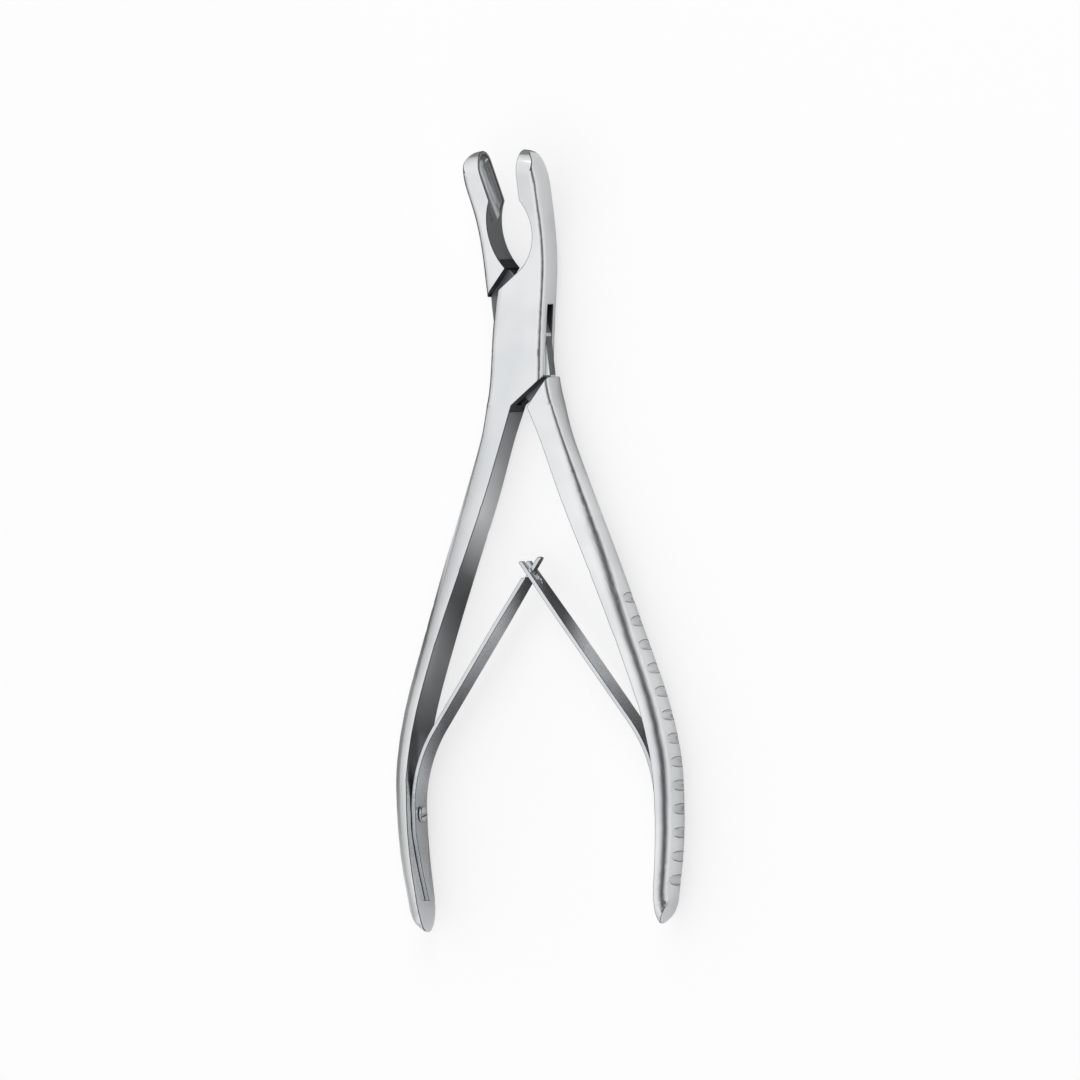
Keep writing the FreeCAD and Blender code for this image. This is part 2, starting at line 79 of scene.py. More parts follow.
FLAT_WEIGHT = 80            # how much more a large face turns a normal than a small one
STRAY_SHARE = 0.5           # of the width of an edge; points of its bevel that stray further go back
LOG = logging.getLogger("rongeur")


class Body(Enum):
    """Rigid bodies that the pieces ride on."""

    BOX = "box_body"
    TONGUE = "tongue_body"
    TONGUE_LEAF = "tongue_leaf"
    FORK_LEAF = "fork_leaf"


class Grain(Enum):
    """Which way the last polishing strokes ran, as stretch factors along X, Y and Z."""

    LENGTHWISE = (1.0, 0.12, 1.0)
    EVEN = (1.0, 1.0, 1.0)


def linear(code: str) -> tuple[float, float, float, float]:
    """Turns an sRGB hex value into linear colour.

    Args:
        code: Six hex digits with a leading hash.

    Returns:
        Red, green, blue and an alpha of one.
    """
    parts = [int(code[i : i + 2], 16) / 255.0 for i in (1, 3, 5)]
    parts = [p / 12.92 if p <= 0.04045 else ((p + 0.055) / 1.055) ** 2.4 for p in parts]
    return parts[0], parts[1], parts[2], 1.0


def add_node(tree: bpy.types.NodeTree, kind: str, links: dict | None = None, **settings) -> bpy.types.Node:
    """Adds one node, sets it up and links its inputs.

    Args:
        tree: Tree that the node goes into.
        kind: Node type name.
        links: Input name or number to output socket or constant value.
        **settings: Attributes of the node.

    Returns:
        The new node.
    """
    node = tree.nodes.new(kind)
    for name, value in settings.items():
        setattr(node, name, value)
    for key, value in (links or {}).items():
        if isinstance(value, bpy.types.NodeSocket):
            tree.links.new(value, node.inputs[key])
        else:
            node.inputs[key].default_value = value
    return node


def ramp(node: bpy.types.Node, stops: list[tuple[float, tuple[float, float, float, float]]]) -> None:
    """Sets the stops of a colour ramp.

    Args:
        node: Colour ramp node.
        stops: Position and colour of each stop, in order.
    """
    elements = node.color_ramp.elements
    while len(elements) < len(stops):
        elements.new(1.0)
    for element, (position, colour) in zip(elements, stops):
        element.position = position
        element.color = colour


@dataclass(frozen=True)
class SteelFinishAndShade:
    """Hardened stainless steel with a surface left by one kind of finishing; some carry painted shade in
    their colour.

    Attributes:
        name: Name of the material.
        light: Colour of the clean metal, as sRGB hex.
        dark: Colour of the slightly duller patches, as sRGB hex.
        roughness: Middle roughness.
        spread: How far the roughness wanders to each side.
        grain: Direction of the finishing strokes.
        grain_mm: Width of one stroke.
        patch_mm: Size of the duller patches.
        relief_mm: Depth of the strokes.
        patch_stops: Noise values below and above which a patch has its full colour.
        stroke_span: Noise values that give the least and the greatest roughness.
    """

    name: str
    light: str
    dark: str
    roughness: float
    spread: float
    grain: Grain
    grain_mm: float
    patch_mm: float
    relief_mm: float
    patch_stops: tuple[float, float] = (0.35, 0.65)
    stroke_span: tuple[float, float] = (0.3, 0.7)

    def material(self) -> bpy.types.Material:
        """Builds the material, or finds it where it is already built.

        Returns:
            A node material that reads Object coordinates.
        """
        if self.name in bpy.data.materials:
            return bpy.data.materials[self.name]
        made = bpy.data.materials.new(self.name)
        made.use_nodes = True
        tree = made.node_tree
        tree.nodes.clear()
        place = add_node(tree, "ShaderNodeTexCoord")
        stretched = add_node(
            tree, "ShaderNodeMapping",
            {"Vector": place.outputs["Object"], "Scale": Vector(self.grain.value)},
        )
        strokes = add_node(
            tree, "ShaderNodeTexNoise",
            {"Vector": stretched.outputs["Vector"], "Scale": 1.0 / (self.grain_mm * MM),
             "Detail": 3.0, "Roughness": 0.6},
        )
        patches = add_node(
            tree, "ShaderNodeTexNoise",
            {"Vector": place.outputs["Object"], "Scale": 1.0 / (self.patch_mm * MM),
             "Detail": 2.0, "Roughness": 0.5},
        )
        colour = add_node(tree, "ShaderNodeValToRGB", {"Fac": patches.outputs["Fac"]})
        ramp(colour, list(zip(self.patch_stops, (linear(self.dark), linear(self.light)))))
        rough = add_node(
            tree, "ShaderNodeMapRange",
            {"Value": strokes.outputs["Fac"],
             "From Min": self.stroke_span[0], "From Max": self.stroke_span[1],
             "To Min": self.roughness - self.spread, "To Max": self.roughness + self.spread},
        )
        bump = add_node(
            tree, "ShaderNodeBump",
            {"Height": strokes.outputs["Fac"], "Strength": 0.5, "Distance": self.relief_mm * MM},
        )
        shader = add_node(
            tree, "ShaderNodeBsdfPrincipled",
            {"Base Color": colour.outputs["Color"], "Metallic": 1.0,
             "Roughness": rough.outputs["Result"], "Normal": bump.outputs["Normal"]},
        )
        add_node(tree, "ShaderNodeOutputMaterial", {"Surface": shader.outputs["BSDF"]})
        return made


# Forged halves: satin from glass-bead blasting and fine polishing, a soft pale sheen
FORGED_SATIN = SteelFinishAndShade(
    "satin_forged_stainless_steel", "#E9EBEC", "#DDE0E2", 0.24, 0.03, Grain.LENGTHWISE, 0.35, 14.0, 0.004,
)
# Broken edges: a fine darker line of painted shade on their bevels
EDGE_PAINTED_SHADE = SteelFinishAndShade(
    "painted_shade_edges", "#5A5E61", "#4E5255", 0.40, 0.04, Grain.EVEN, 0.2, 6.0, 0.002,
)
# Shoulders and slot of the box lock: a darker colour that paints the shade in these recesses, and a duller
# roughness
LOCK_PAINTED_SHADE = SteelFinishAndShade(
    "painted_shade_lock_faces", "#75797C", "#676B6E", 0.38, 0.05, Grain.EVEN, 0.3, 4.0, 0.004,
)
# Spring leaves: rolled strip polished along its length, a little greyer and sharper
SPRING_STRIP = SteelFinishAndShade(
    "rolled_stainless_spring_strip", "#DDE0E3", "#CED2D6", 0.28, 0.05, Grain.LENGTHWISE, 0.25, 9.0, 0.003,
)
# Screws: turned and polished, with a crisp bright edge
TURNED_BRIGHT = SteelFinishAndShade(
    "turned_polished_stainless_steel", "#E4E6E8", "#D6D9DC", 0.24, 0.04, Grain.EVEN, 0.3, 3.0, 0.002,
)


def only(piece: bpy.types.Object) -> None:
    """Deselects everything and makes one piece selected and active.

    Args:
        piece: Piece to work on next.
    """
    bpy.ops.object.select_all(action="DESELECT")
    piece.select_set(True)
    bpy.context.view_layer.objects.active = piece


def copied(node: str, name: str) -> bpy.types.Object:
    """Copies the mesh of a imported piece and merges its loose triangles.

    Args:
        node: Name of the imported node.
        name: Name of the new piece.

    Returns:
        The merged copy, which stands where the node is.
    """
    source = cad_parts[node]
    piece = bpy.data.objects.new(name, source.data.copy())
    bpy.context.scene.collection.objects.link(piece)
    only(piece)
    bpy.ops.object.mode_set(mode="EDIT")
    bpy.ops.mesh.select_all(action="SELECT")
    bpy.ops.mesh.remove_doubles(threshold=MERGE_DISTANCE * MM)
    bpy.ops.mesh.dissolve_limited(angle_limit=FLAT_ANGLE)
    bpy.ops.object.mode_set(mode="OBJECT")
    piece.data.materials.clear()
    return piece


def full_edge(edge: bmesh.types.BMEdge) -> float:
    """Gives every edge the full width.

    Args:
        edge: Sharp edge of a piece.

    Returns:
        One, whatever the edge is.
    """
    return 1.0


def softened(
    piece: bpy.types.Object,
    width: float,
    finish: bpy.types.Material,
    share: Callable[[bmesh.types.BMEdge], float] = full_edge,
) -> None:
    """Breaks the sharp edges of a piece, shades the rest smooth and sets its finish, with painted shade on
    the broken edges.

    Args:
        piece: Piece to finish.
        width: Width of the broken edge, or none where no edge is broken.
        finish: Material of the piece; its broken edges get a darker colour that paints shade on them.
        share: Tells how much of the width an edge gets, from none to one.
    """
    only(piece)
    piece.data.materials.append(finish)
    if width:
        break_edges(piece, width, share)
    bpy.ops.object.shade_smooth_by_angle(angle=SMOOTH_ANGLE)
    flat = piece.modifiers.new("flat_faces", "WEIGHTED_NORMAL")
    flat.mode = "FACE_AREA"
    flat.weight = FLAT_WEIGHT
    flat.keep_sharp = True
    bpy.ops.object.modifier_apply(modifier=flat.name)


def break_edges(
    piece: bpy.types.Object, width: float, share: Callable[[bmesh.types.BMEdge], float],
) -> None:
    """Bevels the sharp edges of a piece and keeps every new point near its old surface.

    Args:
        piece: Piece to finish, which is the active one.
        width: Width of the broken edge.
        share: Tells how much of the width an edge gets, from none to one.
    """
    # The bevel's faces get a darker colour: painted shade along every broken edge.
    piece.data.materials.append(EDGE_PAINTED_SHADE.material())
    mesh = bmesh.new()
    mesh.from_mesh(piece.data)
    form = BVHTree.FromBMesh(mesh)
    weight = mesh.edges.layers.float.new("bevel_weight_edge")
    for edge in mesh.edges:
        if edge.calc_face_angle(0.0) > SHARP_ANGLE:
            edge[weight] = share(edge)
    mesh.to_mesh(piece.data)
    mesh.free()
    bevel = piece.modifiers.new("broken_edges", "BEVEL")
    bevel.limit_method = "WEIGHT"
    bevel.width = width
    bevel.segments = 2
    bevel.material = 1
    bevel.use_clamp_overlap = False
    bpy.ops.object.modifier_apply(modifier=bevel.name)
    for vertex in piece.data.vertices:
        place, _, _, distance = form.find_nearest(vertex.co)
        if distance > STRAY_SHARE * width:
            vertex.co = place


@dataclass(frozen=True)
class HandleForm:
    """Form of a handle, as stations that smooth curves join, in millimetres.

    Attributes:
        stations: Distance below the pivot, inner face, thickness and depth.
        strips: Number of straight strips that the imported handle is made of.
        reach: Distance from the pivot to the end of the handle.
        tip: Distance from the pivot to the end of the metal.
        end_start: Where the rounding of the end starts, seen from the side.
        end_fullness: Exponent of that rounding; two would be an ellipse.
        corner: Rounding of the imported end, seen from the side.
        round_fullness: Pole spacing of a half-elliptical section.
        square_fullness: Pole spacing of the section at the box.
        square_fade: Length over which the section gets round.
        inner_share: Share of the thickness within which a point lies on the inner face.
        surface_slack: Share by which a point of the rounded surface may lie off the section.
        halvings: Steps in which a point of the section is found.
    """

    stations: tuple = (
        (15.19, 1.798, 6.5, 8.4), (22.5, 4.55, 5.95, 7.6), (36.0, 9.3, 6.3, 8.5),
        (50.0, 14.9, 5.95, 9.5), (66.0, 21.2, 5.1, 10.9), (82.0, 26.75, 4.8, 11.4),
        (94.0, 29.5, 4.5, 11.5), (104.0, 30.2, 4.2, 11.4), (115.0, 29.85, 4.0, 11.1),
        (124.0, 28.9, 3.7, 10.4),
    )
    strips: int = 16
    reach: float = 132.3
    tip: float = 131.9
    end_start: float = 122.5
    end_fullness: float = 2.5
    corner: float = 4.6
    round_fullness: float = 0.5523
    square_fullness: float = 1.08
    square_fade: float = 45.0
    inner_share: float = 0.005
    surface_slack: float = 0.03
    halvings: int = 24

    @property
    def top(self) -> float:
        """Where the handle starts, below the pivot."""
        return self.stations[0][0]

    def curve(self, drop: float) -> tuple[float, float, float]:
        """Inner face, thickness and depth where smooth curves join the stations.

        Args:
            drop: Distance below the pivot.

        Returns:
            Distance of the inner face from the middle plane, thickness and depth.
        """
        rows = self.stations
        index = 0
        while index < len(rows) - 2 and drop > rows[index + 1][0]:
            index += 1
        left, right = rows[index], rows[index + 1]
        before, after = rows[max(index - 1, 0)], rows[min(index + 2, len(rows) - 1)]
        span = right[0] - left[0]
        s = (drop - left[0]) / span
        found = []
        for column in (1, 2, 3):
            slope_left = (right[column] - before[column]) / (right[0] - before[0])
            slope_right = (after[column] - left[column]) / (after[0] - left[0])
            rise = left[column] * (2 * s**3 - 3 * s**2 + 1) + right[column] * (3 * s**2 - 2 * s**3)
            found.append(rise + span * (slope_left * (s**3 - 2 * s**2 + s) + slope_right * (s**3 - s**2)))
        return tuple(found)

    def strip(self, drop: float) -> tuple[float, float, float]:
        """Inner face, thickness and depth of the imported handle, straight between sections.

        Args:
            drop: Distance below the pivot.

        Returns:
            Distance of the inner face from the middle plane, thickness and depth.
        """
        step = (self.reach - self.top) / self.strips
        index = min(int((drop - self.top) / step), self.strips - 1)
        share = (drop - self.top) / step - index
        above, below = self.curve(self.top + index * step), self.curve(self.top + (index + 1) * step)
        return tuple((1 - share) * a + share * b for a, b in zip(above, below))

    def outer(self, drop: float) -> float:
        """Distance of the outermost line from the middle plane.

        Args:
            drop: Distance below the pivot.

        Returns:
            That distance.
        """
        inner, thickness, _ = self.curve(drop)
        return inner + thickness

    def section(self, drop: float, angle: float) -> tuple[float, float]:
        """Point of the section in shares of thickness and half depth.

        Args:
            drop: Distance below the pivot.
            angle: Direction from the inner face, from none (outwards) to a right angle (up).

        Returns:
            Share of the thickness and share of the half depth.
        """
        square = max(0.0, 1.0 - (drop - self.top) / self.square_fade) ** 2
        full = self.round_fullness + square * (self.square_fullness - self.round_fullness)
        low, high = 0.0, 1.0
        for _ in range(self.halvings):
            s = (low + high) / 2.0
            out = 3 * full * s * (1 - s) ** 2 + 3 * s**2 * (1 - s) + s**3
            up = (1 - s) ** 3 + 3 * s * (1 - s) ** 2 + 3 * full * s**2 * (1 - s)
            if math.atan2(up, out) > angle:
                low = s
            else:
                high = s
        return out, up

    def smoothed(self, drop: float, x: float, z: float) -> tuple[float, float]:
        """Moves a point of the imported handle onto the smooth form.

        Args:
            drop: Distance of the point below the pivot.
            x: Its distance from the middle plane.
            z: Its height above the back face of the box.

        Returns:
            Its new distance from the middle plane and its new height.
        """
        inner, thickness, depth = self.strip(drop)
        new_inner, new_thickness, new_depth = self.curve(drop)
        out, up = (x - inner) / thickness, (z - MIDDLE_HEIGHT) / (depth / 2.0)
        if out > self.inner_share:
            on_out, on_up = self.section(drop, math.atan2(abs(up), out))
            if abs(math.hypot(out, up) / math.hypot(on_out, on_up) - 1.0) < self.surface_slack:
                out, up = on_out, math.copysign(on_up, up)
        if drop > self.end_start:
            up *= self._end_share(drop, depth / 2.0)
        return new_inner + out * new_thickness, MIDDLE_HEIGHT + up * new_depth / 2.0

    def _end_share(self, drop: float, half: float) -> float:
        """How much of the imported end's height stays, for an end rounded from the side.

        Args:
            drop: Distance below the pivot.
            half: Half the depth of the handle there.

        Returns:
            Share of the height that stays.
        """
        past = drop - (self.reach - self.corner)
        packed = half
        if past > 0:
            packed = half - self.corner + math.sqrt(max(0.0, self.corner**2 - past**2))
        s = min(1.0, (drop - self.end_start) / (self.tip - self.end_start))
        return min(1.0, half * math.sqrt(1.0 - s**self.end_fullness) / packed)


@dataclass(frozen=True)
class GripGrooves:
    """Row of grooves milled crosswise into the outer side of a handle, in millimetres.

    Attributes:
        first: Distance of the uppermost groove below the pivot.
        pitch: Distance from groove to groove.
        count: Number of grooves.
        radius: Radius of the milling cutter.
        depth: Depth at the outermost line of the handle.
        length: Length of the milling cutter.
        sides: Number of flat sides that stand for the cutter's roundness.
    """

    first: float = 58.7
    pitch: float = 5.3
    count: int = 13
    radius: float = 1.3
    depth: float = 0.75
    length: float = 30.0
    sides: int = 40

    @property
    def last(self) -> float:
        """Distance of the lowest groove below the pivot."""
        return self.first + self.pitch * (self.count - 1)

    def cut(self, piece: bpy.types.Object, form: HandleForm, side: int) -> None:
        """Cuts the grooves into a handle.

        Args:
            piece: Forged half that carries the handle.
            form: Plan of the handle.
            side: One for the right handle, minus one for the left.
        """
        cutters = []
        for i in range(self.count):
            drop = self.first + i * self.pitch
            x = form.outer(drop) + self.radius - self.depth
            bpy.ops.object.select_all(action="DESELECT")
            bpy.ops.mesh.primitive_cylinder_add(
                vertices=self.sides, radius=self.radius * MM, depth=self.length * MM,
                location=(side * x * MM, -drop * MM, MIDDLE_HEIGHT * MM),
            )
            cutters.append(bpy.context.active_object)
        bpy.ops.object.select_all(action="DESELECT")
        for cutter in cutters:
            cutter.select_set(True)
        bpy.context.view_layer.objects.active = cutters[0]
        bpy.ops.object.join()
        mill = bpy.context.active_object
        only(piece)
        cut = piece.modifiers.new("grooves", "BOOLEAN")
        cut.operation = "DIFFERENCE"
        cut.solver = "EXACT"
        cut.object = mill
        bpy.ops.object.modifier_apply(modifier=cut.name)
        bpy.data.objects.remove(mill, do_unlink=True)


@dataclass(frozen=True)
class LockFaces:
    """Faces of the box lock that get painted shade, in millimetres.

    Attributes:
        reach: How far they lie from the pivot at most.
        slot_half: Half the height of the slot in the box, with a little to spare.
        window_drop: Length of the slot's open side below the pivot.
        cheek: Distance from the middle plane within which the slot's faces lie.
        upright: Greatest share of Z in the normal of a shoulder.
        slant: Product of the other two shares, which is less than this at a shoulder.
        sideways: Greatest share of Z in the normal of a face that isn't a flat of the tongue.
    """

    reach: float = 17.0
    slot_half: float = 1.6
    window_drop: float = 8.7
    cheek: float = 5.6
    upright: float = 0.2
    slant: float = -0.3
    sideways: float = 0.9

    def has(self, centre: Vector, normal: Vector, side: int) -> bool:
        """Tells whether a face is one of them.

        Args:
            centre: Middle of the face, in millimetres.
            normal: Direction that the face looks in.
            side: One for the half with the tongue, minus one for the half with the box.

        Returns:
            True for a shoulder and for a face of the slot or the tongue.
        """
        near = abs(centre.y) < self.reach and abs(centre.x) < self.reach
        shoulder = abs(normal.z) < self.upright and normal.x * normal.y < self.slant
        inside = abs(centre.z - MIDDLE_HEIGHT) < self.slot_half
        deep = inside and abs(centre.x) < self.cheek
        # In the slot's open side only the side faces get painted shade; the tongue's flats stay bright.
        if side > 0 and inside and -self.window_drop < centre.y < 0.0:
            deep = abs(normal.z) < self.sideways
        return near and (shoulder or deep)


@dataclass
class PlierHalf:
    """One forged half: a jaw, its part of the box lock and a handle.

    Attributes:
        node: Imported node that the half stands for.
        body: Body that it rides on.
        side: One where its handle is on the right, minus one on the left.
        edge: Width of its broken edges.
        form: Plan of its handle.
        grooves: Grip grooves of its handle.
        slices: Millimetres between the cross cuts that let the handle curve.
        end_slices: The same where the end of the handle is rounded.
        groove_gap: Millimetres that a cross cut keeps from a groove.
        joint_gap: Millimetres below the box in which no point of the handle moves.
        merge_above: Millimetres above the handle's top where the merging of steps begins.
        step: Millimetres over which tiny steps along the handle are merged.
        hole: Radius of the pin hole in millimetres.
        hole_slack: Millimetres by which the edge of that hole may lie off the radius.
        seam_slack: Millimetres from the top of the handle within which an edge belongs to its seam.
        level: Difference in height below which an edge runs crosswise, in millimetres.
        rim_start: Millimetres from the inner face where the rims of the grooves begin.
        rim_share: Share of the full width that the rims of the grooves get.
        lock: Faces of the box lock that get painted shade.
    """

    node: str
    body: Body
    side: int
    edge: float = 0.15 * MM
    form: HandleForm = HandleForm()
    grooves: GripGrooves = GripGrooves()
    slices: float = 1.5
    end_slices: float = 0.375
    groove_gap: float = 0.2
    joint_gap: float = 0.5
    merge_above: float = 0.1
    step: float = 0.12
    hole: float = 1.6
    hole_slack: float = 0.08
    seam_slack: float = 0.3
    level: float = 0.05
    rim_start: float = 0.3
    rim_share: float = 0.6
    lock: LockFaces = LockFaces()

    def build(self, finish: bpy.types.Material) -> bpy.types.Object:
        """Makes the smoothed half.

        Args:
            finish: Material of the forging.

        Returns:
            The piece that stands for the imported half.
        """
        piece = copied(self.node, self.node + "_forging")
        self._curve_handle(piece)
        self.grooves.cut(piece, self.form, self.side)
        self._merge_steps(piece)
        softened(piece, self.edge, finish, self._edge_share)
        # Painted shade on the shoulders and the slot of the box lock.
        self._paint_lock_shade(piece, LOCK_PAINTED_SHADE.material())
        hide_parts(self.node)
        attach(piece, self.body.value)
        return piece

    def _paint_lock_shade(self, piece: bpy.types.Object, milled: bpy.types.Material) -> None:
        """Paints shade on the shoulders and the slot of the box lock, as a darker material.

        Args:
            piece: Forged half with its other finish in place.
            milled: Material that paints the shade on these faces.
        """
        piece.data.materials.append(milled)
        for face in piece.data.polygons:
            if self.lock.has(face.center / MM, face.normal, self.side):
                face.material_index = len(piece.data.materials) - 1

    def _curve_handle(self, piece: bpy.types.Object) -> None:
        """Turns the straight strips of the handle into one smooth form with a round end.

        Args:
            piece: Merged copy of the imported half.
        """
        mesh = bmesh.new()
        mesh.from_mesh(piece.data)
        for drop in self._cross_cuts():
            bmesh.ops.bisect_plane(
                mesh, geom=mesh.verts[:] + mesh.edges[:] + mesh.faces[:],
                plane_co=(0, -drop * MM, 0), plane_no=(0, 1, 0), dist=0.001 * MM,
            )
        for vertex in mesh.verts:
            drop = -vertex.co.y / MM
            if drop > self.form.top + self.joint_gap:
                x, z = self.form.smoothed(drop, self.side * vertex.co.x / MM, vertex.co.z / MM)
                vertex.co.x, vertex.co.z = self.side * x * MM, z * MM
        mesh.to_mesh(piece.data)
        mesh.free()
        self._merge_steps(piece)

    def _cross_cuts(self) -> list[float]:
        """Distances below the pivot where the half is cut crosswise, clear of the grooves.

        Returns:
            Two cuts that part the tongue's painted shade from its bright faces, then those that let the
            handle curve.
        """
        cuts, drop = [0.0, self.lock.window_drop], self.form.top + self.slices
        while drop < self.form.reach:
            place = (drop - self.grooves.first) / self.grooves.pitch
            near = min(max(round(place), 0), self.grooves.count - 1)
            if abs(place - near) * self.grooves.pitch > self.grooves.radius + self.groove_gap:
                cuts.append(drop)
            drop += self.slices if drop < self.form.end_start else self.end_slices
        return cuts

    def _merge_steps(self, piece: bpy.types.Object) -> None:
        """Merges the tiny edges along the handle, so that its other edges break evenly.

        Args:
            piece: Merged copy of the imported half.
        """
        mesh = bmesh.new()
        mesh.from_mesh(piece.data)
        along = [v for v in mesh.verts if -v.co.y / MM > self.form.top - self.merge_above]
        bmesh.ops.remove_doubles(mesh, verts=along, dist=self.step * MM)
        mesh.to_mesh(piece.data)
        mesh.free()

    def _edge_share(self, edge: bmesh.types.BMEdge) -> float:
        """Tells how much of the full width an edge gets when it is broken.

        Args:
            edge: Sharp edge of the forging.

        Returns:
            None at seams and round the pin, less than one at the grooves and one elsewhere.
        """
        a, b = (vertex.co / MM for vertex in edge.verts)
        drops = (-a.y, -b.y)
        fall = abs(drops[0] - drops[1])
        if all(abs(math.hypot(end.x, end.y) - self.hole) < self.hole_slack for end in (a, b)):
            return 0.0
        if fall < self.seam_slack and abs(drops[0] - self.form.top) < self.seam_slack:
            return 0.0
        if min(drops) < self.grooves.first - self.grooves.radius:
            return 1.0
        if min(drops) > self.grooves.last + self.grooves.radius and fall < self.level:
            return 0.0
        outward = min(self.side * end.x - self.form.curve(-end.y)[0] for end in (a, b))
        return self.rim_share if outward > self.rim_start else 1.0


@dataclass
class LeafSpring:
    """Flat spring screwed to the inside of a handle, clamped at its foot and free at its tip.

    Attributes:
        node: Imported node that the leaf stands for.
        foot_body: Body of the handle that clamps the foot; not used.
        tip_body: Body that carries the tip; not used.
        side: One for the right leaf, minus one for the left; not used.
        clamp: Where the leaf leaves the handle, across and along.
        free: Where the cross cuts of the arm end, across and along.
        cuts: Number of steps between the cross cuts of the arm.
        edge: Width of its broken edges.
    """

    node: str
    foot_body: Body
    tip_body: Body
    side: int
    clamp: tuple[float, float] = (29.6 * MM, -103.0 * MM)
    free: tuple[float, float] = (9.5 * MM, -66.0 * MM)
    cuts: int = 36
    edge: float = 0.11 * MM

    def build(self, finish: bpy.types.Material) -> bpy.types.Object:
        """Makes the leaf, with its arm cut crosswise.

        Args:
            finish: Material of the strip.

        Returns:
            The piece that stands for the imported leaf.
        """
        piece = copied(self.node, self.node + "_leaf")
        self._divide(piece)
        softened(piece, self.edge, finish)
        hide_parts(self.node)
        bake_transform(piece)
        return piece

    def _divide(self, piece: bpy.types.Object) -> None:
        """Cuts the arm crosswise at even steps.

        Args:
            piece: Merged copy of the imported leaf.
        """
        only(piece)
        bpy.ops.object.mode_set(mode="EDIT")
        for i in range(self.cuts + 1):
            y = self.clamp[1] + (self.free[1] - self.clamp[1]) * i / self.cuts
            bpy.ops.mesh.select_all(action="SELECT")
            bpy.ops.mesh.bisect(plane_co=(0, y, 0), plane_no=(0, 1, 0))
        bpy.ops.object.mode_set(mode="OBJECT")


@dataclass
class TurnedPiece:
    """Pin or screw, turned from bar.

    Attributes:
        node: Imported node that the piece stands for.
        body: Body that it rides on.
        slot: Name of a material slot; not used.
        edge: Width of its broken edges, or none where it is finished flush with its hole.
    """

    node: str
    body: Body
    slot: str
    edge: float = 0.09 * MM

    def build(self, finish: bpy.types.Material) -> bpy.types.Object:
        """Makes the smoothed pin or screw.

        Args:
            finish: Material of the turned bar.

        Returns:
            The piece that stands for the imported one.
        """
        piece = copied(self.node, self.node + "_turned")
        softened(piece, self.edge, finish)
        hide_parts(self.node)
        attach(piece, self.body.value)
        return piece


